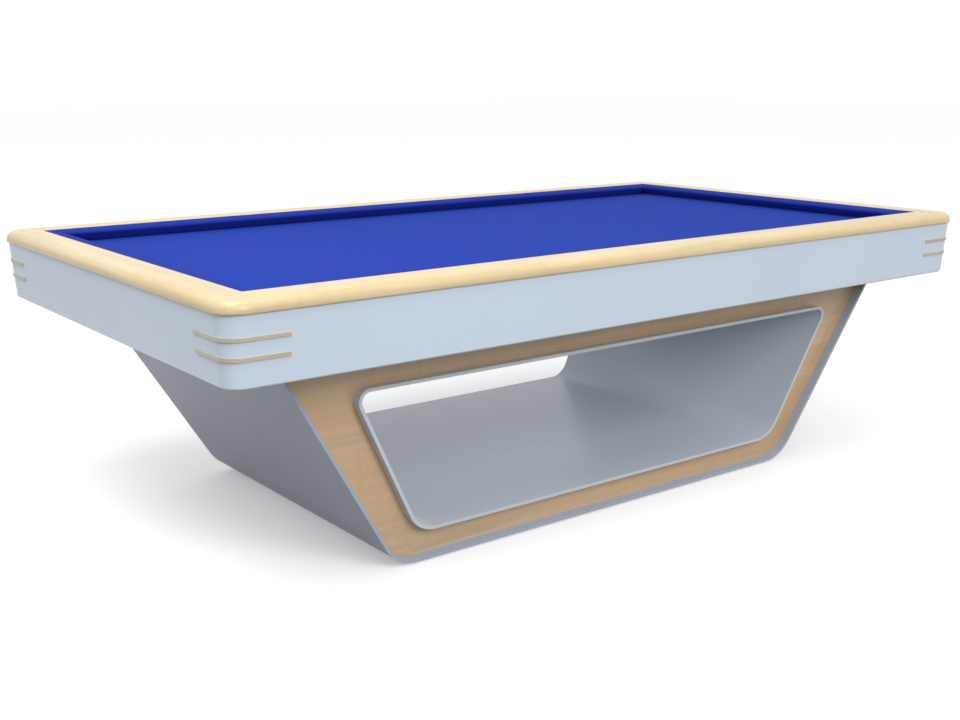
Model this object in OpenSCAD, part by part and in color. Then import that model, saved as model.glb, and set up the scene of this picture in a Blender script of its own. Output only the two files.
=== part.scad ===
// Pocketless slate-bed billiard table on a see-through trapezoid plinth.
// Millimetres. Origin on the floor under the middle of the table, +X along the
// length, +Z up. The front of the table faces -Y.

/* [Playing field] */
// Length between the noses of the end cushions
play_l = 2540; // [2100:10:2900]
// Width between the noses of the long cushions
play_w = 1270; // [1050:10:1450]
// Depth of a cushion, from its nose to the rail wood
cushion_d = 50; // [42:1:60]
// Height of the cushion nose above the bed cloth
nose_h = 33; // [28:0.5:36]
// Radius of the rubber at the nose
nose_r = 5; // [3:0.5:7]
// Thickness of the bed cloth
bed_cloth_t = 1.5; // [1:0.1:2.5]
// Thickness of the cloth on the cushions
cushion_cloth_t = 1; // [0.8:0.1:2]
// Length of the bed cloth folded down round the slate
cloth_fold = 30; // [15:1:40]

/* [Rails] */
// Height of the rail top above the floor
rail_top = 858; // [760:1:960]
// Height of the rail top above the bed cloth
rail_over_bed = 40.5; // [38:0.5:48]
// Width of the maple rail cap
cap_w = 100; // [94:1:130]
// Height of the cap at its rounded outer edge
cap_h = 36; // [36:1:44]
// Thickness of the cap over the rail core
cap_t = 16; // [12:1:20]
// Radius of the large round on the cap's top edge
cap_r = 29; // [22:1:29]
// Radius of the small round under the cap's edge
cap_under_r = 6; // [3:1:6]
// Radius of the ease on the cap's inner edge
cap_ease = 1.5; // [0.5:0.5:3]
// Distance from the rail's inner edge to the axis of the rounded corners
corner_axis = 34; // [20:1:50]

/* [Apron] */
// Height of the apron boards
apron_h = 174; // [140:1:200]
// Lean of the outer face from bottom to top
apron_lean = 11.7; // [0:0.1:20]
// Thickness of an apron board at its bottom edge
apron_t = 16; // [14:1:22]
// Width of the bevel on the bottom edge
apron_ease = 4; // [1:0.5:6]
// Height of a maple strip on the apron's corners
strip_h = 9; // [6:1:16]
// Thickness of a strip, proud of the apron
strip_t = 3; // [2:0.5:8]
// Length of a strip from the corner along each board
strip_l = 155; // [110:1:260]
// Height of the upper strip's middle above the apron's bottom
strip_upper = 118; // [95:1:140]
// Height of the lower strip's middle above the apron's bottom
strip_lower = 71; // [35:1:78]

/* [Slate and frame] */
// Thickness of the slates
slate_t = 45; // [25:1:50]
// Distance that the slates reach past the cushion nose
slate_over = 110; // [95:1:112]
// Distance of the frame beams inside the slate's edge
beam_set = 60; // [58:1:80]
// Height of the frame beams
beam_h = 105; // [80:1:120]
// Thickness of the frame beams
beam_t = 60; // [45:1:80]
// Width of the cross beams under the slate joints
joint_beam_w = 100; // [70:1:140]
// Outer cross beams, in from the inner edge of the end rails
outer_beam_in = 390; // [320:5:500]
// Radius of the rail bolts
rail_bolt_r = 5; // [4:0.5:6]
// Radius of the slate screws
slate_screw_r = 3; // [2.5:0.5:4]
// Length of the slate screws
slate_screw_l = 85; // [60:1:110]
// Radius of the dowels between the slates
dowel_r = 6; // [4:0.5:8]
// Length of the dowels
dowel_l = 60; // [40:1:80]
// Radius of the bolts that hold the frame to the plinth
frame_bolt_r = 5; // [4:0.5:6]
// Depth of those bolts in the plinth
frame_bolt_in = 50; // [30:1:60]
// Thickness of the apron brackets
bracket_t = 4; // [3:0.5:6]
// Width of the apron brackets
bracket_w = 40; // [25:1:60]

/* [Plinth] */
// Bottom of the plinth's ends, in from the inner edge of the end rails, before rounding
base_end_in = 501; // [480:1:600]
// Outward lean of the plinth ends, as run over rise
end_slope = 0.6; // [0.4:0.01:0.6]
// Bottom of the plinth's long sides, in from the inner edge of the long rails
base_face_in = 141; // [125:1:200]
// Outward lean of the front and rear, as run over rise
face_slope = 0.0935; // [0:0.001:0.1]
// Radius of the plinth's lower corners
base_r = 132; // [90:1:150]
// Thickness of the plinth's end panels and bottom
shell_t = 10; // [8:1:20]
// Distance that the maple faces sit behind the plinth's edge
face_set = 32; // [15:1:40]
// Thickness of the maple faces
face_t = 18; // [12:1:24]
// Thickness of the plywood formers behind the maple faces
former_t = 30; // [21:1:36]
// Thickness of the middle former
mid_former_t = 30; // [21:1:36]

/* [Window] */
// Bottom corners of the window, in from the plinth's bottom corners, before rounding
window_in = 77.5; // [74:0.5:150]
// Outward lean of the window's sides, as run over rise
window_slope = 0.505; // [0.35:0.005:0.53]
// Height of the window's bottom above the plinth's bottom
window_low = 95; // [90:1:130]
// Height of the window's top above the plinth's bottom
window_high = 530; // [440:1:535]
// Radius of the window's lower corners
window_low_r = 90; // [50:1:110]
// Radius of the window's upper corners
window_high_r = 26; // [20:1:40]
// Thickness of the lining boards
liner_t = 10; // [8:1:18]
// Distance that the lining stops behind the plinth's edge
liner_set = 4; // [0:1:12]

/* [Levelling feet] */
// Gap between the floor and the plinth with the feet screwed in
foot_gap = 6; // [4:0.5:10]
// Feet, in from the bottom of the plinth's ends
foot_in_l = 199; // [180:1:300]
// Feet, in from the bottom of the plinth's long sides
foot_in_w = 174; // [164:1:260]
// Radius of the foot pads
pad_r = 45; // [30:1:55]
// Thickness of the foot pads
pad_t = 9; // [6:1:12]
// Radius of the boss on a pad
pad_boss_r = 18; // [14:1:22]
// Radius of the screw stems
stem_r = 8; // [6:0.5:10]
// Length of the screw stems
stem_l = 75; // [60:1:80]
// Height of the timber blocks that hold the feet
block_h = 60; // [45:1:64]
// Width of those blocks
block_w = 140; // [110:1:150]
// Length of the threaded inserts
insert_l = 45; // [30:1:50]
// Wall of the threaded inserts
insert_wall = 5; // [3:0.5:8]

/* [Hidden] */

// Colours
maple = "burlywood";
lacquer = "lightsteelblue";
cloth_blue = "royalblue";
plywood = "tan";
timber = "peru";
steel = "silver";
slate_grey = "dimgray";

// Clearances and small set sizes
fit = 0.2;
thread_fit = 0.05;
pad_gap = 0.3;
over = 1; // how far a cutter runs past the face it cuts
bolt_clear = 2; // between a bolt and its hole in the slate
head_clear = 1;
heel_gap = 1.5; // between the bed cloth and the cushion's heel
pad_clear = 4;
washer_t = 2;
washer_over = 5; // how far a washer reaches past its hole
head_ratio = 1.8; // bolt head radius over shank radius
head_h_ratio = 1.28; // bolt head height over shank radius
screw_head_ratio = 2.4;
bolt_reach = 0.7; // share of the rail core's height that a bolt enters
spread = 0.7; // slate screws from the middle of a slate, over its half length
bracket_spread = 0.8;
bracket_leg = 0.6; // height of a bracket's upright over the beam's height
bracket_reach = 0.7; // share of the beam's width above a bracket
arc_fn = 96;
big = 400;

// Rails: d runs outward from the inner edge of the rail wood
inner_l = play_l / 2 + cushion_d;
inner_w = play_w / 2 + cushion_d;
bed_z = rail_top - rail_over_bed;
slate_top = bed_z - bed_cloth_t;
slate_low = slate_top - slate_t;
beam_low = slate_low - beam_h;
apron_top = rail_top - cap_h;
apron_low = apron_top - apron_h;
apron_out_top = cap_w - cap_under_r;
apron_out_low = apron_out_top - apron_lean;
apron_in = apron_out_low - apron_t;
slate_d = slate_over - cushion_d;
beam_out = slate_d - beam_set;
beam_mid = beam_out - beam_t / 2;
bolt_d = apron_in / 2;

// Plinth
base_half_l = inner_l - base_end_in;
base_half_w = inner_w - base_face_in;
window_half_l = base_half_l - window_in;
outer_beam_x = inner_l - outer_beam_in;
foot_x = base_half_l - foot_in_l;
foot_y = base_half_w - foot_in_w;
base_low = foot_gap;
base_top = beam_low;
win_low = base_low + window_low;
win_high = base_low + window_high;
end_run = sqrt(1 + end_slope * end_slope);
win_run = sqrt(1 + window_slope * window_slope);

// Half length of the plinth's outside at height z
function end_x(z) = base_half_l + end_slope * (z - base_low);
// Half depth of the plinth at height z
function face_y(z) = base_half_w + face_slope * (z - base_low);
// Half width of the window at height z
function win_x(z) = window_half_l + window_slope * (z - win_low);

// Point where the line from p touches the circle of radius r at c, side +1 or -1
function touch(p, c, r, side) =
    let (v = p - c, d = norm(v), a = atan2(v[1], v[0]) + side * acos(r / d))
    c + r * [cos(a), sin(a)];

// ---- Sweeps and cutters ----

// Extrudes an (x, z) outline along Y
module along_y(len) {
    rotate([90, 0, 0]) linear_extrude(len, center = true) children();
}

// Extrudes a (y, z) outline along X
module along_x(len) {
    rotate([90, 0, 90]) linear_extrude(len, center = true) children();
}

// Straight length of a (d, z) section along X, d measured toward -Y
module straight(len) {
    rotate([90, 0, 90]) linear_extrude(len, center = true) mirror([1, 0]) children();
}

// Places a rail made for the front side: side 0 front, 1 right, 2 rear, 3 left
module on_side(side) {
    rotate([0, 0, 90 * side]) children();
}

// Half length of the rail rectangle along a side, and its distance from the middle
function side_l(side) = side % 2 == 0 ? inner_l : inner_w;
function side_w(side) = side % 2 == 0 ? inner_w : inner_l;

// Region in plan that belongs to the front rail, bounded by its two mitres
module mitre_wedge(side) {
    l = side_l(side);
    w = side_w(side);
    in = cushion_d + big / 4;
    translate([0, 0, apron_low - big / 4]) linear_extrude(apron_h + big)
        polygon([[-l - big, -w - big], [l + big, -w - big], [l - in, -w + in],
            [-l + in, -w + in]]);
}

// Mitred straight length of a (d, z) section, d measured outward from the rail edge
module mitred(side) {
    l = side_l(side);
    w = side_w(side);
    on_side(side) intersection() {
        translate([0, -w, 0]) straight(2 * (l + big)) children();
        mitre_wedge(side);
    }
}

// The same section with its corners swept round the vertical corner axes
module mitred_round(side) {
    l = side_l(side) + corner_axis;
    w = side_w(side) + corner_axis;
    on_side(side) {
        intersection() {
            translate([0, -side_w(side), 0]) straight(2 * l) children();
            mitre_wedge(side);
        }
        translate([l, -w, 0]) rotate([0, 0, -90]) sector() children();
        translate([-l, -w, 0]) rotate([0, 0, -135]) sector() children();
    }
}

// Eighth of a turn of the part of a (d, z) section beyond the corner axis
module sector() {
    rotate_extrude(angle = 45, $fn = arc_fn) intersection() {
        translate([-corner_axis, 0]) children();
        translate([0, apron_low - big]) square([big, apron_h + 2 * big]);
    }
}

// Straight (d, z) section with a quarter turn at both ends, about the corner axes
module board_with_corners(side) {
    l = side_l(side) + corner_axis;
    w = side_w(side) + corner_axis;
    on_side(side) {
        translate([0, -side_w(side), 0]) straight(2 * l) children();
        translate([l, -w, 0]) rotate([0, 0, -90]) rotate_extrude(angle = 90, $fn = arc_fn)
            translate([-corner_axis, 0]) children();
        translate([-l, -w, 0]) rotate([0, 0, 180]) rotate_extrude(angle = 90, $fn = arc_fn)
            translate([-corner_axis, 0]) children();
    }
}

// ---- Bed ----

// Plan of the table out to distance d, rounded about the corner axes
module rounded_plan(d) {
    l = inner_l + corner_axis;
    w = inner_w + corner_axis;
    square([2 * l, 2 * (inner_w + d)], center = true);
    square([2 * (inner_l + d), 2 * w], center = true);
    for (x = [-l, l], y = [-w, w])
        translate([x, y]) circle(r = d - corner_axis, $fn = arc_fn);
}

module slate_block(x0, x1) {
    w = inner_w + slate_d;
    intersection() {
        translate([x0, -w, slate_low]) cube([x1 - x0, 2 * w, slate_t]);
        translate([0, 0, slate_low]) linear_extrude(slate_t) rounded_plan(slate_d);
    }
}

slate_half = inner_l + slate_d;
slate_joint = slate_half / 3;

// Places children at each rail bolt, on all four sides
module at_rail_bolts() {
    for (side = [0 : 3]) on_side(side) {
        n = side % 2 == 0 ? 2 : 1;
        for (i = [-n : n])
            translate([i * 2 * side_l(side) / (2 * n + 1), -side_w(side) - bolt_d, 0])
                children();
    }
}

// Places children at each slate screw
module at_slate_screws() {
    y = inner_w + beam_mid;
    for (s = [-1, 0, 1], t = [-1, 0, 1], side = [-1, 1])
        translate([s * 2 * slate_joint + t * slate_joint * spread, side * y, 0]) children();
}

// Places children at the middle of each dowel, axis along Z before turning
module at_dowels() {
    for (s = [-1, 1], t = [-1, 1])
        translate([s * slate_joint, t * play_w / 3, slate_low + slate_t / 2])
            rotate([0, 90, 0]) children();
}

screw_head_r = screw_head_ratio * slate_screw_r;
screw_head_h = screw_head_r - slate_screw_r;
bolt_hole_r = rail_bolt_r + bolt_clear;

module slate(x0, x1) {
    color(slate_grey) difference() {
        slate_block(x0, x1);
        at_rail_bolts() translate([0, 0, slate_low - over])
            cylinder(r = bolt_hole_r, h = slate_t + 2 * over);
        at_slate_screws() {
            translate([0, 0, slate_low - over])
                cylinder(r = slate_screw_r + fit, h = slate_t + 2 * over);
            translate([0, 0, slate_top - screw_head_h])
                cylinder(r = screw_head_r + fit, h = screw_head_h + over);
        }
        at_dowels() cylinder(r = dowel_r + fit, h = dowel_l + 2 * fit, center = true);
    }
}

module slate_left() { slate(-slate_half, -slate_joint); }
module slate_centre() { slate(-slate_joint, slate_joint); }
module slate_right() { slate(slate_joint, slate_half); }

module slate_dowels() {
    color("goldenrod") at_dowels() cylinder(r = dowel_r, h = dowel_l, center = true);
}

module slate_screws() {
    color(steel) at_slate_screws() {
        translate([0, 0, slate_top - slate_screw_l])
            cylinder(r = slate_screw_r, h = slate_screw_l - screw_head_h);
        translate([0, 0, slate_top - screw_head_h])
            cylinder(r = screw_head_r, h = screw_head_h);
    }
}

module bed_cloth() {
    color(cloth_blue) difference() {
        translate([0, 0, slate_top - cloth_fold])
            linear_extrude(cloth_fold + bed_cloth_t) rounded_plan(slate_d + bed_cloth_t);
        translate([0, 0, slate_top - cloth_fold - over])
            linear_extrude(cloth_fold + over) rounded_plan(slate_d);
        at_rail_bolts() translate([0, 0, slate_top - over])
            cylinder(r = bolt_hole_r, h = bed_cloth_t + 2 * over);
    }
}

// ---- Cushions ----

nose_x = nose_r + cushion_cloth_t - cushion_d;
nose_z = bed_z + nose_h - nose_r;
cushion_back_top = rail_top - cap_ease - cushion_cloth_t;
cushion_low = bed_z + heel_gap + cushion_cloth_t;
cushion_heel = -cushion_d / 2;

// Section of a cushion grown outward by g
module cushion_section(g) {
    c = [nose_x, nose_z];
    r = nose_r + g;
    top = [0, cushion_back_top + g];
    heel = [cushion_heel - g, cushion_low - g];
    polygon([top, touch(top, c, r, 1), c, touch(heel, c, r, -1), heel,
        [0, cushion_low - g]]);
    translate(c) circle(r = r, $fn = arc_fn);
}

module rubber(side) {
    color("dimgray") mitred(side) cushion_section(0);
}

module cushion_cloth(side) {
    color("mediumblue") mitred(side) difference() {
        cushion_section(cushion_cloth_t);
        cushion_section(0);
    }
}

module rubber_front() { rubber(0); }
module rubber_rear() { rubber(2); }
module rubber_left() { rubber(3); }
module rubber_right() { rubber(1); }
module cushion_cloth_front() { cushion_cloth(0); }
module cushion_cloth_rear() { cushion_cloth(2); }
module cushion_cloth_left() { cushion_cloth(3); }
module cushion_cloth_right() { cushion_cloth(1); }

// ---- Rails ----

core_top = rail_top - cap_t;
core_bolt_in = (core_top - bed_z) * bolt_reach;

module rail_core(side) {
    color(timber) difference() {
        mitred_round(side) translate([0, bed_z]) square([apron_in, core_top - bed_z]);
        at_rail_bolts() translate([0, 0, bed_z - over])
            cylinder(r = rail_bolt_r + fit, h = core_bolt_in + over + fit);
    }
}

module cap_section() {
    out = [cap_w - cap_r, rail_top - cap_r];
    under = [apron_out_top, apron_top + cap_under_r];
    polygon([[0, core_top], [0, rail_top - cap_ease], [cap_ease, rail_top],
        [out[0], rail_top], out, [cap_w, out[1]], [cap_w, under[1]], under,
        [under[0], apron_top], [apron_in, apron_top], [apron_in, core_top]]);
    intersection() {
        translate(out) circle(r = cap_r, $fn = arc_fn);
        translate(out) square(2 * cap_r);
    }
    translate(under) circle(r = cap_under_r, $fn = arc_fn);
}

module rail_cap(side) {
    color(maple) mitred_round(side) cap_section();
}

module rail_core_front() { rail_core(0); }
module rail_core_rear() { rail_core(2); }
module rail_core_left() { rail_core(3); }
module rail_core_right() { rail_core(1); }
module rail_cap_front() { rail_cap(0); }
module rail_cap_rear() { rail_cap(2); }
module rail_cap_left() { rail_cap(3); }
module rail_cap_right() { rail_cap(1); }

washer_r = bolt_hole_r + washer_over;
bolt_head_r = head_ratio * rail_bolt_r;
bolt_head_h = head_h_ratio * rail_bolt_r;

module rail_bolts() {
    color(steel) at_rail_bolts() {
        translate([0, 0, slate_low - washer_t]) cylinder(r = washer_r, h = washer_t);
        translate([0, 0, slate_low - washer_t - bolt_head_h])
            cylinder(r = bolt_head_r, h = bolt_head_h, $fn = 6);
        translate([0, 0, slate_low - washer_t - over])
            cylinder(r = rail_bolt_r, h = bed_z + core_bolt_in - slate_low + washer_t + over);
    }
}

// ---- Apron ----

apron_tilt = apron_lean / apron_h;

// Distance out of the apron's face at height z above its bottom
function apron_d(z) = apron_out_low + apron_tilt * z;

module apron_section() {
    polygon([[apron_in, apron_low], [apron_out_low - apron_ease, apron_low],
        [apron_d(apron_ease), apron_low + apron_ease], [apron_out_top, apron_top],
        [apron_in, apron_top]]);
}

// Section of the two strips on the apron's face
module strip_section() {
    half = strip_h / 2;
    for (z = [strip_upper, strip_lower])
        translate([0, apron_low + z]) polygon([[apron_d(z - half), -half],
            [apron_d(z) + strip_t, -half], [apron_d(z) + strip_t, half],
            [apron_d(z + half), half]]);
}

// Long apron board, with the rounded corners at its ends
module long_apron(side) {
    color(lacquer) board_with_corners(side) apron_section();
}

// Short apron board, between the rounded corners
module end_apron(side) {
    color(lacquer) on_side(side) translate([0, -side_w(side), 0])
        straight(2 * (side_l(side) + corner_axis)) apron_section();
}

module apron_front() { long_apron(0); }
module apron_rear() { long_apron(2); }
module apron_left() { end_apron(3); }
module apron_right() { end_apron(1); }

// Two strips bent round the corner at the +X end of a side
module strips(side) {
    stub = strip_l + corner_axis - apron_out_low;
    color(maple) on_side(side)
        translate([side_l(side) + corner_axis, -side_w(side) - corner_axis, 0]) {
            rotate([0, 0, -90]) rotate_extrude(angle = 90, $fn = arc_fn)
                translate([-corner_axis, 0]) strip_section();
            translate([-stub / 2, corner_axis, 0]) straight(stub) strip_section();
            rotate([0, 0, 90]) translate([stub / 2, corner_axis, 0])
                straight(stub) strip_section();
        }
}

module strips_front_right() { strips(0); }
module strips_rear_right() { strips(1); }
module strips_rear_left() { strips(2); }
module strips_front_left() { strips(3); }

// Places children at each apron bracket, on the front side's layout
module at_brackets() {
    for (side = [0 : 3]) on_side(side) {
        n = side % 2 == 0 ? 2 : 1;
        for (i = [-n : n])
            translate([i * side_l(side) * bracket_spread / n, -side_w(side), 0]) children();
    }
}

module apron_brackets() {
    leg = beam_h * bracket_leg;
    color(steel) at_brackets() {
        translate([-bracket_w / 2, -apron_in, beam_low - bracket_t])
            cube([bracket_w, apron_in - beam_out + beam_t * bracket_reach, bracket_t]);
        translate([-bracket_w / 2, -apron_in, beam_low - bracket_t])
            cube([bracket_w, bracket_t, leg]);
    }
}

// ---- Frame ----

beam_in_w = inner_w + beam_out - beam_t;
beam_in_l = inner_l + beam_out - beam_t;

module at_frame_bolts() {
    y = face_y(base_top) - face_set - face_t - former_t / 2;
    for (x = [-outer_beam_x, -slate_joint, 0, slate_joint, outer_beam_x], s = [-1, 1])
        translate([x, s * y, 0]) children();
}

frame_head_r = head_ratio * frame_bolt_r;
frame_head_h = head_h_ratio * frame_bolt_r;

module frame_bolt_holes() {
    at_frame_bolts() {
        translate([0, 0, beam_low - over])
            cylinder(r = frame_bolt_r + fit, h = beam_h + 2 * over);
        translate([0, 0, slate_low - frame_head_h - head_clear])
            cylinder(r = frame_head_r + head_clear, h = frame_head_h + 2 * head_clear);
    }
}

module pilot_holes() {
    at_slate_screws() translate([0, 0, slate_top - slate_screw_l - fit])
        cylinder(r = slate_screw_r + fit, h = slate_screw_l);
}

module long_beam(s) {
    color(timber) difference() {
        translate([-inner_l - beam_out, s > 0 ? beam_in_w : -beam_in_w - beam_t, beam_low])
            cube([2 * (inner_l + beam_out), beam_t, beam_h]);
        pilot_holes();
    }
}

module end_beam(s) {
    color(timber)
        translate([s > 0 ? beam_in_l : -beam_in_l - beam_t, -beam_in_w, beam_low])
            cube([beam_t, 2 * beam_in_w, beam_h]);
}

module cross_beam(x, w) {
    color(timber) difference() {
        translate([x - w / 2, -beam_in_w, beam_low]) cube([w, 2 * beam_in_w, beam_h]);
        frame_bolt_holes();
    }
}

module frame_front() { long_beam(-1); }
module frame_rear() { long_beam(1); }
module frame_left() { end_beam(-1); }
module frame_right() { end_beam(1); }

module cross_beams() {
    for (x = [-outer_beam_x, 0, outer_beam_x]) cross_beam(x, beam_t);
    for (x = [-slate_joint, slate_joint]) cross_beam(x, joint_beam_w);
}

module frame_bolts() {
    color(steel) at_frame_bolts() {
        translate([0, 0, base_top - frame_bolt_in])
            cylinder(r = frame_bolt_r, h = frame_bolt_in + beam_h - frame_head_h);
        translate([0, 0, slate_low - frame_head_h - head_clear])
            cylinder(r = frame_head_r, h = frame_head_h, $fn = 6);
    }
}

// ---- Plinth ----

// Tall (x, z) outline of the plinth, taken in by t on its ends and bottom
module plinth_outline(t) {
    r = base_r - t;
    z0 = base_low + t;
    c = [end_x(base_low + base_r) - base_r * end_run, base_low + base_r];
    side = c + r * [1, -end_slope] / end_run;
    top = end_x(base_top) - t * end_run;
    polygon([[-c[0], z0], [c[0], z0], c, side, [top, base_top], [-top, base_top],
        [-side[0], side[1]], [-c[0], c[1]]]);
    for (s = [-1, 1]) translate([s * c[0], c[1]]) circle(r = r, $fn = arc_fn);
}

// Half length of the plinth's flat bottom board
base_flat = floor(end_x(base_low + base_r) - base_r * end_run);

// Outline of the window, grown outward by t
module window_outline(t) {
    rl = window_low_r + t;
    rh = window_high_r + t;
    low = [win_x(win_low + window_low_r) - window_low_r * win_run, win_low + window_low_r];
    high = [win_x(win_high - window_high_r) - window_high_r * win_run,
        win_high - window_high_r];
    n = [1, -window_slope] / win_run;
    a = low + rl * n;
    b = high + rh * n;
    polygon([[-low[0], low[1] - rl], [low[0], low[1] - rl], low, a, b, high,
        [high[0], high[1] + rh], [-high[0], high[1] + rh], [-high[0], high[1]],
        [-b[0], b[1]], [-a[0], a[1]], [-low[0], low[1]]]);
    for (s = [-1, 1]) {
        translate([s * low[0], low[1]]) circle(r = rl, $fn = arc_fn);
        translate([s * high[0], high[1]]) circle(r = rh, $fn = arc_fn);
    }
}

// Half lengths of the straight boards at the window's bottom and top
floor_flat = floor(win_x(win_low + window_low_r) - window_low_r * win_run);
top_flat = floor(win_x(win_high - window_high_r) - window_high_r * win_run);

// (y, z) outline of the whole plinth set back by t from both faces
module plinth_depth(t) {
    y0 = face_y(base_low) - t;
    y1 = face_y(base_top) - t;
    polygon([[-y0, base_low], [y0, base_low], [y1, base_top], [-y1, base_top]]);
}

// Slab behind the front face, from t0 to t1 back from the plinth's edge
module front_slab(t0, t1) {
    y0 = face_y(base_low);
    y1 = face_y(base_top);
    along_x(3 * base_half_l) polygon([[-y0 + t0, base_low], [-y0 + t1, base_low],
        [-y1 + t1, base_top], [-y1 + t0, base_top]]);
}

module shell_band() {
    intersection() {
        along_y(3 * base_half_w) difference() {
            plinth_outline(0);
            plinth_outline(shell_t);
        }
        along_x(3 * base_half_l) plinth_depth(0);
    }
}

// Box that holds the flat middle of the bottom, out to half length l
module middle_box(l, z0, z1) {
    translate([-l, -3 * base_half_w / 2, z0]) cube([2 * l, 3 * base_half_w, z1 - z0]);
}

module end_panel(s) {
    color(lacquer) intersection() {
        shell_band();
        translate([s > 0 ? base_flat : -base_flat - 2 * base_half_l,
            -3 * base_half_w / 2, base_low])
            cube([2 * base_half_l, 3 * base_half_w, base_top - base_low]);
    }
}

module end_panel_left() { end_panel(-1); }
module end_panel_right() { end_panel(1); }

module at_feet() {
    for (x = [-1, 1], y = [-1, 1]) translate([x * foot_x, y * foot_y, 0]) children();
}

module bottom_panel() {
    color(lacquer) difference() {
        intersection() {
            shell_band();
            middle_box(base_flat, base_low, base_low + shell_t);
        }
        at_feet() cylinder(r = pad_r + pad_clear, h = base_low + shell_t + over);
    }
}

// Outline of the ring between the plinth's skin and the window's lining: it bears on
// the bottom and on the lining's floor and top, and clears the rest
module ring_outline() {
    difference() {
        union() {
            plinth_outline(shell_t + fit);
            translate([-base_flat, base_low + shell_t])
                square([2 * base_flat, base_top - base_low - shell_t]);
        }
        intersection() {
            window_outline(liner_t + fit);
            translate([-2 * base_half_l, win_low - liner_t])
                square([4 * base_half_l, win_high - win_low + 2 * liner_t]);
        }
    }
}

// Part of the ring from t0 to t1 back from the plinth's front edge
module ring(t0, t1) {
    intersection() {
        along_y(3 * base_half_w) ring_outline();
        front_slab(t0, t1);
    }
}

module front_former() {
    difference() {
        ring(face_set + face_t, face_set + face_t + former_t);
        at_frame_bolts() translate([0, 0, base_top - frame_bolt_in - fit])
            cylinder(r = frame_bolt_r + fit, h = frame_bolt_in + over);
    }
}

module face_front() { color(maple) ring(face_set, face_set + face_t); }
module face_rear() { color(maple) rotate([0, 0, 180]) ring(face_set, face_set + face_t); }
module former_front() { color(plywood) front_former(); }
module former_rear() { color(plywood) rotate([0, 0, 180]) front_former(); }

module former_middle() {
    color(plywood) intersection() {
        along_y(3 * base_half_w) ring_outline();
        along_x(3 * base_half_l) translate([-mid_former_t / 2, base_low])
            square([mid_former_t, base_top - base_low]);
    }
}

module lining_band() {
    intersection() {
        along_y(3 * base_half_w) difference() {
            window_outline(liner_t);
            window_outline(0);
        }
        along_x(3 * base_half_l) plinth_depth(liner_set);
    }
}

module lining_top() {
    color(lacquer) intersection() {
        lining_band();
        middle_box(top_flat, win_high, base_top);
    }
}

module lining_floor() {
    color(lacquer) intersection() {
        lining_band();
        middle_box(floor_flat, base_low, win_low);
    }
}

module lining_side(s) {
    color(lacquer) difference() {
        intersection() {
            lining_band();
            translate([s > 0 ? 0 : -3 * base_half_l, -3 * base_half_w / 2, base_low])
                cube([3 * base_half_l, 3 * base_half_w, base_top - base_low]);
        }
        middle_box(top_flat, win_high - over, base_top);
        middle_box(floor_flat, base_low, win_low + over);
    }
}

module lining_left() { lining_side(-1); }
module lining_right() { lining_side(1); }

// ---- Levelling feet ----

block_low = base_low + shell_t;
insert_r = stem_r + thread_fit + insert_wall;

module foot_blocks() {
    color(timber) at_feet() difference() {
        translate([-block_w / 2, -block_w / 2, block_low]) cube([block_w, block_w, block_h]);
        translate([0, 0, block_low - over])
            cylinder(r = insert_r + fit, h = insert_l + over);
        cylinder(r = stem_r + over, h = block_low + block_h + over);
    }
}

module foot_inserts() {
    color("goldenrod") at_feet() difference() {
        translate([0, 0, block_low]) cylinder(r = insert_r, h = insert_l);
        cylinder(r = stem_r + thread_fit, h = block_low + insert_l + over);
    }
}

pad_floor = pad_t / 2;

// A foot's screw stem at the corner given by the signs sx and sy
module stem(sx, sy) {
    color(steel) translate([sx * foot_x, sy * foot_y, pad_floor + pad_gap])
        cylinder(r = stem_r, h = stem_l);
}

// A foot's pad with its boss and the blind socket for the stem
module pad(sx, sy) {
    color("gray") translate([sx * foot_x, sy * foot_y, 0]) difference() {
        union() {
            cylinder(r = pad_r, h = pad_t);
            cylinder(r = pad_boss_r, h = block_low - pad_gap);
        }
        translate([0, 0, pad_floor]) cylinder(r = stem_r + thread_fit, h = block_low);
    }
}

module stem_front_left() { stem(-1, -1); }
module stem_front_right() { stem(1, -1); }
module stem_rear_left() { stem(-1, 1); }
module stem_rear_right() { stem(1, 1); }
module pad_front_left() { pad(-1, -1); }
module pad_front_right() { pad(1, -1); }
module pad_rear_left() { pad(-1, 1); }
module pad_rear_right() { pad(1, 1); }

bed_cloth();
slate_left();
slate_centre();
slate_right();
slate_dowels();
slate_screws();
rubber_front();
rubber_rear();
rubber_left();
rubber_right();
cushion_cloth_front();
cushion_cloth_rear();
cushion_cloth_left();
cushion_cloth_right();
rail_core_front();
rail_core_rear();
rail_core_left();
rail_core_right();
rail_cap_front();
rail_cap_rear();
rail_cap_left();
rail_cap_right();
rail_bolts();
apron_front();
apron_rear();
apron_left();
apron_right();
strips_front_left();
strips_front_right();
strips_rear_left();
strips_rear_right();
apron_brackets();
frame_front();
frame_rear();
frame_left();
frame_right();
cross_beams();
frame_bolts();
end_panel_left();
end_panel_right();
bottom_panel();
face_front();
face_rear();
former_front();
former_middle();
former_rear();
lining_top();
lining_floor();
lining_left();
lining_right();
foot_blocks();
foot_inserts();
stem_front_left();
stem_front_right();
stem_rear_left();
stem_rear_right();
pad_front_left();
pad_front_right();
pad_rear_left();
pad_rear_right();
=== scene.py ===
"""Looks of a pocketless slate-bed billiard table, built round its packed frame."""

import math

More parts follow.
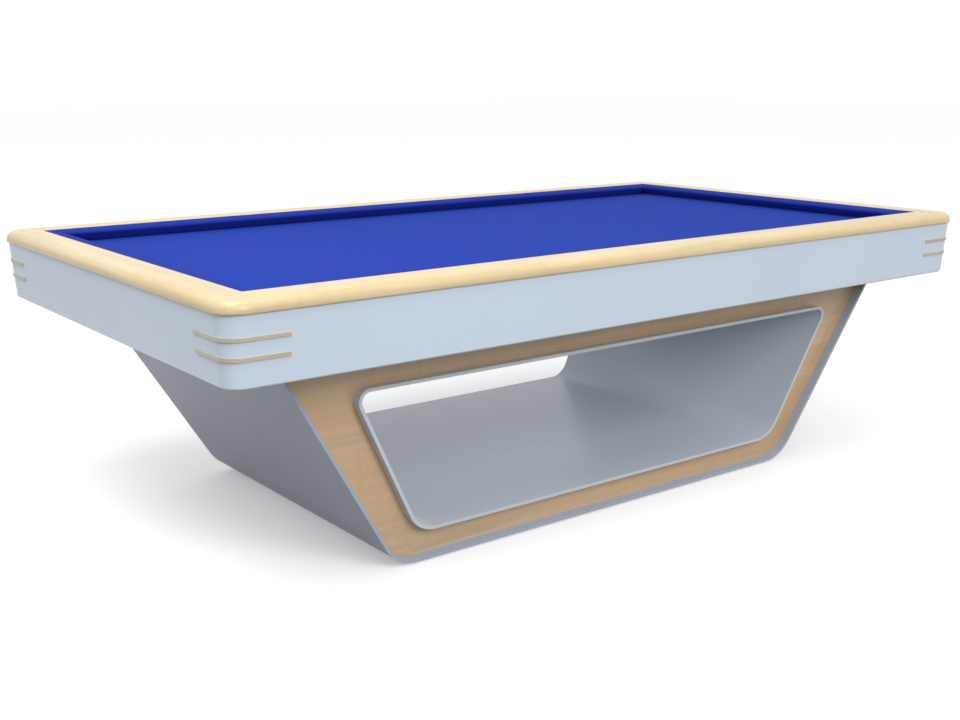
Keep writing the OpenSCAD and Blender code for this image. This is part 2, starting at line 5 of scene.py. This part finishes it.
import bmesh
import bpy
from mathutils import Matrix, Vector


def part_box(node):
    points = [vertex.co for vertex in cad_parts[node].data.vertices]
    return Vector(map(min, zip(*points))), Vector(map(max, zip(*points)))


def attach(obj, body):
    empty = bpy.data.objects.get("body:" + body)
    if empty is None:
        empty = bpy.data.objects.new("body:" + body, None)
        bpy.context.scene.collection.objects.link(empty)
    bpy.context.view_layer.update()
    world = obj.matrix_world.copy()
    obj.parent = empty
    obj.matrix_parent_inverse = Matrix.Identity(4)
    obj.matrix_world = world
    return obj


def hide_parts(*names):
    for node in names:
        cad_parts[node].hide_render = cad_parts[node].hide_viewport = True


bl_info = {
    "name": "Billiard Table Looks",
    "version": (1, 0, 0),
    "blender": (4, 5, 0),
    "location": "View3D > Sidebar > Billiard Table",
    "description": "Cloths, woods, lacquers and a studio for a billiard table",
    "category": "Add Mesh",
}

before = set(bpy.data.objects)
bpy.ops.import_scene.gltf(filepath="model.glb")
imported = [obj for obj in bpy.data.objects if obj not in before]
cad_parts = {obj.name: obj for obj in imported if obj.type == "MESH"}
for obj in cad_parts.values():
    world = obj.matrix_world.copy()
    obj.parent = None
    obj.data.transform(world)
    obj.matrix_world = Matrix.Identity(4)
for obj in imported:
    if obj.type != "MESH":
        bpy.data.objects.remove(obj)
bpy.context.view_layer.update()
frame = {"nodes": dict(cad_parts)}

BODY = "table"
SIDES = ("front", "right", "rear", "left")
CORNERS = ("front_left", "front_right", "rear_left", "rear_right")
FEET = tuple(f"{kind}_{corner}" for corner in CORNERS for kind in ("pad", "stem"))
MM = 0.001

# How finely the cloth and cushion curves are cut
EDGE_STEPS = 4
CORNER_STEPS = 8
NOSE_STEPS = 14
CROWN_STEPS = 10

# Angles above which two faces meet in a sharp edge
CLOTH_CREASE = math.radians(50)
CUSHION_CREASE = math.radians(38)

# Points of the tuck, as shares of its width and depth
TUCK_CURVE = ((0.25, 0.9), (0.6, 0.3))
# Length over which the cloth falls into a mitre, in seam depths
SEAM_RUN = 5

# Gloss of the sprayed lacquers: the plinth's shell is the flatter one
SATIN_GLOSS = 0.25
SHELL_GLOSS = 0.08

# Studio: half the floor's width, its brightness to the camera, and the lamps
FLOOR_HALF = 40.0
FLOOR_WHITE = (0.9, 0.9, 0.9)
FLOOR_LIFT = 0.3
FILL_TINT = (0.97, 0.985, 1.0, 1)
LAMP_AIM = (0.0, 0.0, 0.6)
KEY_PLACE = (-0.6, -6.8, 4.3)
KEY_SIZE = 3.5
HIGH_PLACE = (-2.4, -0.9, 4.3)
HIGH_SIZE = 2.8

bed_low, bed_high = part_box("bed_cloth")
front_low, front_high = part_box("cushion_cloth_front")


# ---- Materials ----


class Finish:
    """One material's node tree, built with short calls."""

    def __init__(self, name, **values):
        self.material = bpy.data.materials.new(name)
        self.material.use_nodes = True
        self.tree = self.material.node_tree
        self.tree.nodes.clear()
        output = self.tree.nodes.new("ShaderNodeOutputMaterial")
        self.shader = self.tree.nodes.new("ShaderNodeBsdfPrincipled")
        self.tree.links.new(self.shader.outputs["BSDF"], output.inputs["Surface"])
        for key, value in values.items():
            self.shader.inputs[key.replace("_", " ")].default_value = value

    def feed(self, socket, value):
        """Joins a socket, or sets a plain number or colour."""
        if isinstance(value, bpy.types.NodeSocket):
            self.tree.links.new(value, socket)
        elif isinstance(value, (int, float)):
            socket.default_value = value
        else:
            socket.default_value = (*value[:3], 1)[: len(socket.default_value)]

    def place(self, scale):
        """The piece's own coordinates in metres, times a scale along each axis."""
        where = self.tree.nodes.new("ShaderNodeTexCoord")
        mapping = self.tree.nodes.new("ShaderNodeMapping")
        mapping.inputs["Scale"].default_value = scale
        self.tree.links.new(where.outputs["Object"], mapping.inputs["Vector"])
        return mapping.outputs["Vector"]

    def noise(self, scale, detail=3.0, roughness=0.5, twist=0.0):
        """Noise whose cells per metre along each axis are scale."""
        node = self.tree.nodes.new("ShaderNodeTexNoise")
        node.inputs["Scale"].default_value = 1.0
        node.inputs["Detail"].default_value = detail
        node.inputs["Roughness"].default_value = roughness
        node.inputs["Distortion"].default_value = twist
        self.tree.links.new(self.place(scale), node.inputs["Vector"])
        return node.outputs["Fac"]

    def bands(self, scale, axis, twist=0.0):
        """Even bands across one axis, scale of them to the metre."""
        node = self.tree.nodes.new("ShaderNodeTexWave")
        node.bands_direction = axis
        node.inputs["Scale"].default_value = math.pi / 10
        node.inputs["Distortion"].default_value = twist
        self.tree.links.new(self.place((scale, scale, scale)), node.inputs["Vector"])
        return node.outputs["Fac"]

    def span(self, factor, low, high, start=0.0, end=1.0):
        """A factor taken from start..end to low..high."""
        node = self.tree.nodes.new("ShaderNodeMapRange")
        for name, value in zip(
            ("Value", "From Min", "From Max", "To Min", "To Max"),
            (factor, start, end, low, high),
        ):
            self.feed(node.inputs[name], value)
        return node.outputs["Result"]

    def mix(self, factor, first, second, blend="MIX"):
        """Two colours mixed."""
        node = self.tree.nodes.new("ShaderNodeMix")
        node.data_type = "RGBA"
        node.blend_type = blend
        for index, value in ((0, factor), (6, first), (7, second)):
            self.feed(node.inputs[index], value)
        return node.outputs[2]

    def sum(self, first, second, operation="ADD"):
        """Arithmetic on two factors."""
        node = self.tree.nodes.new("ShaderNodeMath")
        node.operation = operation
        self.feed(node.inputs[0], first)
        self.feed(node.inputs[1], second)
        return node.outputs["Value"]

    def colour(self, value):
        """The base colour."""
        self.feed(self.shader.inputs["Base Color"], value)
        return self

    def rough(self, value):
        """The roughness."""
        self.feed(self.shader.inputs["Roughness"], value)
        return self

    def bump(self, height, depth):
        """Relief from a factor, depth in metres."""
        node = self.tree.nodes.new("ShaderNodeBump")
        node.inputs["Strength"].default_value = 1.0
        node.inputs["Distance"].default_value = depth
        self.tree.links.new(height, node.inputs["Height"])
        self.tree.links.new(node.outputs["Normal"], self.shader.inputs["Normal"])
        return self


def tone(colour, share):
    """A colour made lighter or darker by a share of itself."""
    return tuple(min(1.0, c * share) for c in colour[:3])


def stretch(along, fine, long):
    """Cells per metre across the grain and along it, for a grain that runs along an axis."""
    return tuple(long if along == axis else fine for axis in "XYZ")


def maple(name, colour, along):
    """Clear-lacquered maple: soft figure, fine dark pores and a satin coat."""
    finish = Finish(name, Coat_Weight=0.3, Coat_Roughness=0.16, Specular_IOR_Level=0.4)
    figure = finish.noise(stretch(along, 22, 1.1), detail=5, twist=1.2)
    broad = finish.noise(stretch(along, 5, 0.9), detail=2)
    ripple = finish.noise(stretch(along, 7, 26), detail=2, twist=0.8)
    pores = finish.noise(stretch(along, 900, 28), detail=2, roughness=0.7)
    wood = finish.mix(finish.span(figure, 0, 1, 0.34, 0.66), tone(colour, 0.88),
        tone(colour, 1.07))
    warm = (colour[0], colour[1] * 0.9, colour[2] * 0.74)
    wood = finish.mix(finish.span(broad, 0, 0.8, 0.4, 0.65), wood, warm)
    wood = finish.mix(finish.span(ripple, 0, 0.3, 0.5, 0.72), wood, tone(warm, 0.86))
    wood = finish.mix(finish.span(pores, 0, 0.4, 0.56, 0.78), wood, tone(colour, 0.62))
    finish.colour(wood)
    finish.rough(finish.span(pores, 0.34, 0.46))
    return finish.bump(pores, 0.00004).material


def softwood(name, colour, along):
    """Planed softwood with wide growth bands."""
    finish = Finish(name, Specular_IOR_Level=0.3)
    rings = finish.noise(stretch(along, 45, 1.2), detail=2, twist=1.4)
    fibre = finish.noise(stretch(along, 700, 20), detail=2)
    wood = finish.mix(finish.span(rings, 0, 1, 0.35, 0.62), tone(colour, 0.72), colour)
    finish.colour(finish.mix(finish.span(fibre, 0, 0.4), wood, tone(colour, 1.15)))
    finish.rough(finish.span(fibre, 0.55, 0.75))
    return finish.bump(fibre, 0.00012).material


def plywood(name, colour):
    """Birch plywood: plies that lie one behind the other from front to rear."""
    finish = Finish(name, Specular_IOR_Level=0.3)
    plies = finish.bands(350, "Y")
    fibre = finish.noise(stretch("X", 600, 15), detail=3)
    wood = finish.mix(finish.span(plies, 0, 1, 0.3, 0.7), tone(colour, 0.7), colour)
    finish.colour(finish.mix(finish.span(fibre, 0, 0.3), wood, tone(colour, 1.12)))
    finish.rough(finish.span(fibre, 0.5, 0.7))
    return finish.bump(fibre, 0.0001).material


def lacquer(name, colour, gloss=SATIN_GLOSS):
    """Satin sprayed lacquer on board: fine orange peel and a faint unevenness."""
    finish = Finish(name, Coat_Weight=gloss, Coat_Roughness=0.2,
        Specular_IOR_Level=0.1 + gloss)
    cloud = finish.noise((2.2, 2.2, 2.2), detail=2)
    peel = finish.noise((420, 420, 420), detail=1)
    finish.colour(finish.mix(finish.span(cloud, 0, 1, 0.35, 0.65), tone(colour, 0.985),
        tone(colour, 1.01)))
    finish.rough(finish.span(finish.noise((30, 30, 30)), 0.36, 0.46))
    return finish.bump(peel, 0.00003).material


def billiard_cloth(name, colour, sheen):
    """Worsted billiard cloth: a fine close weave with a short nap."""
    finish = Finish(name, Sheen_Weight=sheen, Sheen_Roughness=0.45,
        Specular_IOR_Level=0.12)
    finish.shader.inputs["Sheen Tint"].default_value = (*tone(colour, 2.2), 1)
    warp = finish.bands(1400, "X", 0.4)
    weft = finish.bands(1400, "Y", 0.4)
    fibre = finish.noise((900, 900, 900), detail=3, roughness=0.7)
    nap = finish.noise((14, 5, 14), detail=3)
    weave = finish.sum(warp, weft, "MULTIPLY")
    shade = finish.mix(finish.span(weave, 0, 0.5), tone(colour, 0.93), tone(colour, 1.12))
    shade = finish.mix(finish.span(fibre, 0, 0.35, 0.45, 0.8), shade, tone(colour, 1.35))
    finish.colour(finish.mix(finish.span(nap, 0, 0.25, 0.35, 0.65), shade,
        tone(colour, 0.9)))
    finish.rough(finish.span(fibre, 0.82, 0.96))
    return finish.bump(finish.sum(weave, fibre), 0.00008).material


def slate_stone(name, colour):
    """Honed slate with a slight cleavage grain."""
    finish = Finish(name, Specular_IOR_Level=0.4)
    layers = finish.noise((9, 9, 260), detail=4)
    specks = finish.noise((800, 800, 800), detail=2)
    stone = finish.mix(finish.span(layers, 0, 1, 0.35, 0.65), tone(colour, 0.8),
        tone(colour, 1.2))
    finish.colour(finish.mix(finish.span(specks, 0, 0.4, 0.5, 0.8), stone,
        tone(colour, 1.6)))
    finish.rough(finish.span(specks, 0.5, 0.68))
    return finish.bump(layers, 0.0001).material


def bare_metal(name, colour, roughness, metallic=1.0):
    """Turned or plated metal with fine tool marks."""
    finish = Finish(name, Metallic=metallic)
    marks = finish.noise((160, 160, 1600), detail=2)
    stain = finish.noise((40, 40, 40), detail=3)
    finish.colour(finish.mix(finish.span(stain, 0, 1, 0.35, 0.65), tone(colour, 0.88),
        tone(colour, 1.05)))
    finish.rough(finish.span(marks, roughness - 0.06, roughness + 0.08))
    return finish.bump(marks, 0.00003).material


def moulded_rubber(name, colour):
    """Moulded rubber with a dusty matt skin."""
    finish = Finish(name, Specular_IOR_Level=0.3)
    grain = finish.noise((500, 500, 500), detail=3)
    finish.colour(finish.mix(grain, tone(colour, 0.85), tone(colour, 1.2)))
    finish.rough(finish.span(grain, 0.6, 0.8))
    return finish.bump(grain, 0.00006).material


def dress(nodes, material):
    """Gives packed nodes one material over all their faces."""
    for name in nodes:
        mesh = frame["nodes"][name].data
        mesh.materials.clear()
        mesh.materials.append(material)


# ---- Mesh making ----


def mesh_piece(name, points, faces, material, sharp_angle):
    """New object from points and faces, shaded smooth up to an angle."""
    mesh = bpy.data.meshes.new(name)
    mesh.from_pydata([tuple(p) for p in points], [], faces)
    work = bmesh.new()
    work.from_mesh(mesh)
    bmesh.ops.recalc_face_normals(work, faces=work.faces)
    work.to_mesh(mesh)
    work.free()
    mesh.polygons.foreach_set("use_smooth", [True] * len(mesh.polygons))
    mesh.set_sharp_from_angle(angle=sharp_angle)
    mesh.materials.append(material)
    piece = bpy.data.objects.new(name, mesh)
    bpy.context.scene.collection.objects.link(piece)
    return piece


def ring_faces(rings, count):
    """Quads between rings of count points each, the rings following one another."""
    return [
        (a * count + i, a * count + (i + 1) % count, (a + 1) * count + (i + 1) % count,
         (a + 1) * count + i)
        for a in range(rings - 1)
        for i in range(count)
    ]


def arc(centre, radius, start, end, steps):
    """Points on an arc, angles in degrees."""
    angles = [math.radians(start + (end - start) * i / steps) for i in range(steps + 1)]
    return [(centre[0] + radius * math.cos(a), centre[1] + radius * math.sin(a))
            for a in angles]


def tangent(point, centre, radius, side):
    """Angle in degrees at which the line from a point touches a circle."""
    along = math.atan2(point[1] - centre[1], point[0] - centre[0])
    reach = math.hypot(point[0] - centre[0], point[1] - centre[1])
    return math.degrees(along + side * math.acos(radius / reach))


def rounded_rectangle(half_x, half_y, radius, steps):
    """Points round a rectangle with rounded corners, counter-clockwise."""
    points = []
    for x, y, start in ((1, 1, 0), (-1, 1, 90), (-1, -1, 180), (1, -1, 270)):
        centre = (x * (half_x - radius), y * (half_y - radius))
        points += arc(centre, radius, start, start + 90, steps)
    return points


# ---- Sizes and colours that a user would change ----


def length(name, description, millimetres, low=0.0, high=100.0):
    """A length property, in metres, from a size in millimetres."""
    return bpy.props.FloatProperty(name=name, description=description,
        default=millimetres * MM, min=low * MM, max=high * MM, precision=5,
        subtype="DISTANCE", unit="LENGTH")


def paint(name, description, value):
    """A colour property."""
    return bpy.props.FloatVectorProperty(name=name, description=description,
        default=value, size=3, min=0, max=1, subtype="COLOR")


class ClothSettings(bpy.types.PropertyGroup):
    """Bed cloth and cushions."""

    colour: paint("Bed cloth", "Colour of the cloth on the slates", (0.0115, 0.04, 0.325))
    # The cushion cloth is the bed cloth made darker: painted shade for the cushions' shaded
    # faces.
    shaded_cushion_colour: paint("Cushion cloth", "Colour of the cloth on the cushions",
        (0.012, 0.031, 0.27))
    sheen: bpy.props.FloatProperty(name="Nap sheen", default=0.06, min=0, max=1,
        description="Strength of the sheen that the nap gives")
    thickness: length("Thickness", "Thickness of the bed cloth", 1.5)
    corner: length("Corner radius", "Radius of the slate's corners", 27.5)
    edge: length("Edge radius", "Radius of the cloth over the slate's edge", 3)
    nose_radius: length("Nose radius", "Radius of the clothed cushion nose", 6)
    nose_rise: length("Nose rise", "Height of the nose's centre above the bed", 28)
    heel: length("Heel depth", "Depth of the flat under the cushion", 26)
    crown: length("Crown", "Rise of the cushion's top between nose and rail", 0.7)
    tuck: length("Tuck", "Width of the tuck where the cloth enters the rail", 2.4)
    seam: length("Mitre seam", "How far the cloth falls at the mitres", 0.6)


class WoodSettings(bpy.types.PropertyGroup):
    """Woods of the rails, the plinth's faces and the frame."""

    rail: paint("Rail maple", "Colour of the maple rails", (0.635, 0.505, 0.29))
    strip: paint("Strip maple", "Colour of the strips on the apron", (0.5, 0.45, 0.34))
    face: paint("Face maple", "Colour of the maple in the plinth", (0.63, 0.45, 0.285))
    frame: paint("Frame timber", "Colour of the softwood frame", (0.55, 0.38, 0.2))
    ply: paint("Plywood", "Colour of the plywood formers", (0.6, 0.45, 0.27))


class LacquerSettings(bpy.types.PropertyGroup):
    """Lacquers of the apron and the plinth."""

    apron: paint("Apron", "Colour of the apron's lacquer", (0.59, 0.68, 0.78))
    # The plinth's colour is the apron's paint made darker: painted shade for the plinth under the
    # table's overhang.
    shell: paint("Plinth", "Colour of the plinth's lacquer", (0.43, 0.485, 0.57))
    lining: paint("Lining", "Colour of the window lining's lacquer", (0.62, 0.67, 0.73))


class MetalSettings(bpy.types.PropertyGroup):
    """Slates and metal parts."""

    slate: paint("Slate", "Colour of the slates", (0.045, 0.05, 0.058))
    rubber: paint("Rubber", "Colour of the cushion rubber", (0.03, 0.03, 0.03))
    zinc: paint("Zinc", "Colour of the plated bolts and brackets", (0.62, 0.63, 0.65))
    brass: paint("Brass", "Colour of the dowels and inserts", (0.74, 0.53, 0.22))
    pad: paint("Foot pad", "Colour of the blacked steel pads", (0.05, 0.05, 0.055))


class StudioSettings(bpy.types.PropertyGroup):
    """Camera, floor and lamps."""

    place: bpy.props.FloatVectorProperty(name="Camera", subtype="TRANSLATION",
        description="Where the camera stands", default=(-2.5684, -3.2114, 1.3554),
        unit="LENGTH")
    turn: bpy.props.FloatProperty(name="Camera turn", subtype="ANGLE", unit="ROTATION",
        description="Turn of the camera about the vertical", default=-0.653114)
    tilt: bpy.props.FloatProperty(name="Camera tilt", subtype="ANGLE", unit="ROTATION",
        description="Fall of the camera's line below the level", default=0.233748)
    lens: bpy.props.FloatProperty(name="Lens", default=46.048, min=10, max=200,
        description="Focal length", subtype="DISTANCE_CAMERA")
    floor: paint("Floor", "Colour that the floor throws back", (0.12, 0.12, 0.12))
    sky: bpy.props.FloatProperty(name="Fill", default=0.78, min=0, max=3,
        description="Strength of the even fill from all round")
    key: bpy.props.FloatProperty(name="Key lamp", default=245, min=0, max=5000,
        description="Power of the large lamp above the front", subtype="POWER")
    high: bpy.props.FloatProperty(name="High lamp", default=115, min=0, max=5000,
        description="Power of the lamp high above the left end", subtype="POWER")


SETTINGS = {
    "table_cloth": ClothSettings,
    "table_wood": WoodSettings,
    "table_lacquer": LacquerSettings,
    "table_metal": MetalSettings,
    "table_studio": StudioSettings,
}


# ---- Pieces ----


def make_bed_cloth(s):
    """Cloth stretched over the slates and folded down round their edge."""
    half_x, half_y, edge = bed_high.x, bed_high.y, s.edge
    outline = []
    for turn in range(EDGE_STEPS + 1):
        angle = math.radians(90 * turn / EDGE_STEPS)
        inset = edge * (1 - math.sin(angle))
        height = bed_high.z - edge * (1 - math.cos(angle))
        outline.append((inset, height))
    outline.append((0.0, bed_low.z))
    points = []
    for inset, height in outline:
        plan = rounded_rectangle(half_x - inset, half_y - inset, s.corner - inset,
            CORNER_STEPS)
        points += [(x, y, height) for x, y in plan]
    count = 4 * (CORNER_STEPS + 1)
    faces = ring_faces(len(outline), count) + [tuple(range(count))]
    material = billiard_cloth("bed_worsted", s.colour, s.sheen)
    piece = mesh_piece("stretched_bed_cloth", points, faces, material, CLOTH_CREASE)
    shell = piece.modifiers.new("cloth_thickness", "SOLIDIFY")
    shell.thickness = s.thickness
    shell.offset = -1
    return piece


def cushion_section(s):
    """(d, z) section of a clothed cushion, d outward from the rail's inner edge."""
    depth = front_high.y - front_low.y
    top, low = front_high.z, front_low.z
    centre = (s.nose_radius - depth, bed_high.z + s.nose_rise)
    back = (-s.tuck, top)
    heel = (-s.heel, low)
    start = tangent(back, centre, s.nose_radius, 1)
    end = tangent(heel, centre, s.nose_radius, -1)
    end = end + 360 if end < start else end
    nose = arc(centre, s.nose_radius, start, end, NOSE_STEPS)
    crown = []
    for i in range(CROWN_STEPS):
        t = i / CROWN_STEPS
        rise = s.crown * math.sin(math.pi * t)
        crown.append((back[0] + (nose[0][0] - back[0]) * t,
                      back[1] + (nose[0][1] - back[1]) * t + rise))
    lip = [(0.0, low), (0.0, top - s.tuck)]
    lip += [(-d * s.tuck, top - z * s.tuck) for d, z in TUCK_CURVE]
    return [heel] + lip + crown + nose, centre


def make_cushion(s, side, material):
    """One clothed cushion with mitred ends, standing on its side of the bed."""
    low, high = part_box(f"cushion_cloth_{SIDES[side]}")
    half = (high.x - low.x) / 2 if side % 2 == 0 else (high.y - low.y) / 2
    out = (-low.y, high.x, high.y, -low.x)[side]
    section, centre = cushion_section(s)
    angle = math.radians(90 * side)
    cos, sin = math.cos(angle), math.sin(angle)
    run = SEAM_RUN * s.seam
    points = []
    for end, inset, fall in ((-1, 0, 1), (-1, run, 0), (1, run, 0), (1, 0, 1)):
        for d, z in section:
            along = end * (half + d - inset)
            away = math.hypot(d - centre[0], z - centre[1])
            share = fall * s.seam / max(away, s.seam)
            fallen_d = d + (centre[0] - d) * share if d < 0 else d
            fallen_z = z + (centre[1] - z) * share
            y = -out - fallen_d
            points.append((along * cos - y * sin, along * sin + y * cos, fallen_z))
    count = len(section)
    faces = ring_faces(4, count) + [tuple(range(count)), tuple(range(3 * count, 4 * count))]
    return mesh_piece(f"cushion_{SIDES[side]}", points, faces, material, CUSHION_CREASE)


class TABLE_OT_bed_cloth(bpy.types.Operator):
    """Stretches the bed cloth over the slates"""

    bl_idname = "table.bed_cloth"
    bl_label = "Bed cloth"

    def execute(self, context):
        s = context.scene.table_cloth
        piece = make_bed_cloth(s)
        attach(piece, BODY)
        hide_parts("bed_cloth")
        return {"FINISHED"}


class TABLE_OT_cushions(bpy.types.Operator):
    """Builds the four clothed cushions"""

    bl_idname = "table.cushions"
    bl_label = "Cushions"

    def execute(self, context):
        s = context.scene.table_cloth
        # Same worsted as the bed, in a darker colour: painted shade on the cushions.
        material = billiard_cloth("cushion_worsted_painted_shade", s.shaded_cushion_colour, s.sheen)
        for side, name in enumerate(SIDES):
            piece = make_cushion(s, side, material)
            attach(piece, BODY)
            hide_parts(f"cushion_cloth_{name}", f"rubber_{name}")
        return {"FINISHED"}


class TABLE_OT_rails(bpy.types.Operator):
    """Finishes the maple rails, their cores and the corner strips"""

    bl_idname = "table.rails"
    bl_label = "Rails"

    def execute(self, context):
        s = context.scene.table_wood
        for axis, ends in (("X", ("front", "rear")), ("Y", ("left", "right"))):
            dress([f"rail_cap_{n}" for n in ends], maple(f"rail_maple_{axis}", s.rail, axis))
            dress([f"rail_core_{n}" for n in ends],
                softwood(f"rail_core_{axis}", s.frame, axis))
        dress([f"strips_{n}" for n in CORNERS], maple("strip_maple", s.strip, "X"))
        return {"FINISHED"}


class TABLE_OT_apron(bpy.types.Operator):
    """Lacquers the apron boards"""

    bl_idname = "table.apron"
    bl_label = "Apron"

    def execute(self, context):
        s = context.scene.table_lacquer
        dress([f"apron_{n}" for n in SIDES], lacquer("apron_lacquer", s.apron))
        return {"FINISHED"}


class TABLE_OT_plinth(bpy.types.Operator):
    """Finishes the plinth's shell, maple faces, lining and formers"""

    bl_idname = "table.plinth"
    bl_label = "Plinth"

    def execute(self, context):
        coats = context.scene.table_lacquer
        woods = context.scene.table_wood
        # The shell's lacquer is the apron's paint made darker: painted shade under the table, not
        # a different paint.
        dress(("end_panel_left", "end_panel_right", "bottom_panel"),
            lacquer("shell_lacquer_painted_shade", coats.shell, SHELL_GLOSS))
        dress(("lining_top", "lining_floor", "lining_left", "lining_right"),
            lacquer("lining_lacquer", coats.lining))
        dress(("face_front", "face_rear"), maple("face_maple", woods.face, "X"))
        dress(("former_front", "former_middle", "former_rear"),
            plywood("former_ply", woods.ply))
        return {"FINISHED"}


class TABLE_OT_bed_frame(bpy.types.Operator):
    """Finishes the slates, the timber frame and the fasteners"""

    bl_idname = "table.bed_frame"
    bl_label = "Slates and frame"

    def execute(self, context):
        woods = context.scene.table_wood
        metals = context.scene.table_metal
        dress(("slate_left", "slate_centre", "slate_right"),
            slate_stone("honed_slate", metals.slate))
        dress(("frame_front", "frame_rear"), softwood("long_timber", woods.frame, "X"))
        dress(("frame_left", "frame_right", "cross_beams", "foot_blocks"),
            softwood("cross_timber", woods.frame, "Y"))
        dress([f"rubber_{n}" for n in SIDES], moulded_rubber("rubber", metals.rubber))
        dress(("slate_screws", "rail_bolts", "frame_bolts", "apron_brackets"),
            bare_metal("zinc_plate", metals.zinc, roughness=0.34))
        dress(("slate_dowels", "foot_inserts"), bare_metal("brass", metals.brass, roughness=0.28))
        return {"FINISHED"}


class TABLE_OT_feet(bpy.types.Operator):
    """Finishes the levelling feet"""

    bl_idname = "table.feet"
    bl_label = "Levelling feet"

    def execute(self, context):
        s = context.scene.table_metal
        dress([n for n in FEET if n.startswith("pad")],
            bare_metal("blacked_steel", s.pad, roughness=0.5, metallic=0.6))
        dress([n for n in FEET if n.startswith("stem")],
            bare_metal("stem_zinc", s.zinc, roughness=0.32))
        return {"FINISHED"}


# ---- Studio ----


def make_floor(colour):
    """Wide floor, white to the camera and in reflections, that throws little light back."""
    points = [(x * FLOOR_HALF, y * FLOOR_HALF, 0)
              for x, y in ((-1, -1), (1, -1), (1, 1), (-1, 1))]
    finish = Finish("studio_floor", Specular_IOR_Level=0.0, Roughness=0.9)
    path = finish.tree.nodes.new("ShaderNodeLightPath")
    seen = finish.sum(path.outputs["Is Camera Ray"], path.outputs["Is Glossy Ray"], "MAXIMUM")
    finish.colour(finish.mix(seen, colour, FLOOR_WHITE))
    finish.shader.inputs["Emission Color"].default_value = (1, 1, 1, 1)
    finish.feed(finish.shader.inputs["Emission Strength"],
        finish.sum(seen, FLOOR_LIFT, "MULTIPLY"))
    floor = mesh_piece("studio_floor", points, [(0, 1, 2, 3)], finish.material, math.pi)
    return floor


def make_world(fill):
    """Even fill light, with a white backdrop for the camera and for reflections."""
    world = bpy.data.worlds.new("studio")
    world.use_nodes = True
    tree = world.node_tree
    tree.nodes.clear()
    output = tree.nodes.new("ShaderNodeOutputWorld")
    path = tree.nodes.new("ShaderNodeLightPath")
    seen = tree.nodes.new("ShaderNodeMath")
    seen.operation = "MAXIMUM"
    tree.links.new(path.outputs["Is Camera Ray"], seen.inputs[0])
    tree.links.new(path.outputs["Is Glossy Ray"], seen.inputs[1])
    soft = tree.nodes.new("ShaderNodeBackground")
    soft.inputs["Color"].default_value = FILL_TINT
    soft.inputs["Strength"].default_value = fill
    white = tree.nodes.new("ShaderNodeBackground")
    white.inputs["Color"].default_value = (1, 1, 1, 1)
    white.inputs["Strength"].default_value = 1.0
    mix = tree.nodes.new("ShaderNodeMixShader")
    tree.links.new(seen.outputs["Value"], mix.inputs["Fac"])
    tree.links.new(soft.outputs["Background"], mix.inputs[1])
    tree.links.new(white.outputs["Background"], mix.inputs[2])
    tree.links.new(mix.outputs["Shader"], output.inputs["Surface"])
    bpy.context.scene.world = world


def make_lamp(name, power, place, size):
    """Square soft lamp that faces the middle of the table."""
    data = bpy.data.lights.new(name, "AREA")
    data.shape = "SQUARE"
    data.size = size
    data.energy = power
    lamp = bpy.data.objects.new(name, data)
    bpy.context.scene.collection.objects.link(lamp)
    lamp.location = place
    aim = Vector(LAMP_AIM) - Vector(place)
    lamp.rotation_euler = aim.to_track_quat("-Z", "Y").to_euler()
    lamp.visible_camera = False
    return lamp


class TABLE_OT_studio(bpy.types.Operator):
    """Sets up the camera, the floor, the backdrop and the lamps"""

    bl_idname = "table.studio"
    bl_label = "Studio"

    def execute(self, context):
        s = context.scene.table_studio
        data = bpy.data.cameras.new("studio_camera")
        data.sensor_width = 36.0
        data.lens = s.lens
        camera = bpy.data.objects.new("studio_camera", data)
        context.scene.collection.objects.link(camera)
        camera.location = s.place
        camera.rotation_euler = (math.pi / 2 - s.tilt, 0.0, s.turn)
        context.scene.camera = camera
        make_floor(s.floor)
        make_world(s.sky)
        make_lamp("key_lamp", s.key, KEY_PLACE, KEY_SIZE)
        make_lamp("high_lamp", s.high, HIGH_PLACE, HIGH_SIZE)
        context.scene.view_settings.view_transform = "Standard"
        return {"FINISHED"}


OPERATORS = (
    TABLE_OT_bed_cloth,
    TABLE_OT_cushions,
    TABLE_OT_rails,
    TABLE_OT_apron,
    TABLE_OT_plinth,
    TABLE_OT_bed_frame,
    TABLE_OT_feet,
    TABLE_OT_studio,
)


class TABLE_PT_looks(bpy.types.Panel):
    """Lists the table's settings and builders"""

    bl_label = "Billiard Table"
    bl_idname = "TABLE_PT_looks"
    bl_space_type = "VIEW_3D"
    bl_region_type = "UI"
    bl_category = "Billiard Table"

    def draw(self, context):
        for name, group in SETTINGS.items():
            box = self.layout.box()
            box.label(text=group.__doc__)
            settings = getattr(context.scene, name)
            for key in group.__annotations__:
                box.prop(settings, key)
        for operator in OPERATORS:
            self.layout.operator(operator.bl_idname)


def register():
    """Registers the settings, the operators and the panel."""
    for name, group in SETTINGS.items():
        bpy.utils.register_class(group)
        setattr(bpy.types.Scene, name, bpy.props.PointerProperty(type=group))
    for item in (*OPERATORS, TABLE_PT_looks):
        bpy.utils.register_class(item)


def unregister():
    """Takes the panel, the operators and the settings out again."""
    for item in (TABLE_PT_looks, *reversed(OPERATORS)):
        bpy.utils.unregister_class(item)
    for name, group in reversed(SETTINGS.items()):
        delattr(bpy.types.Scene, name)
        bpy.utils.unregister_class(group)


def main():
    """Builds everything in order."""
    register()
    bpy.ops.table.bed_cloth()
    bpy.ops.table.cushions()
    bpy.ops.table.rails()
    bpy.ops.table.apron()
    bpy.ops.table.plinth()
    bpy.ops.table.bed_frame()
    bpy.ops.table.feet()
    bpy.ops.table.studio()


if __name__ == "__main__":
    main()
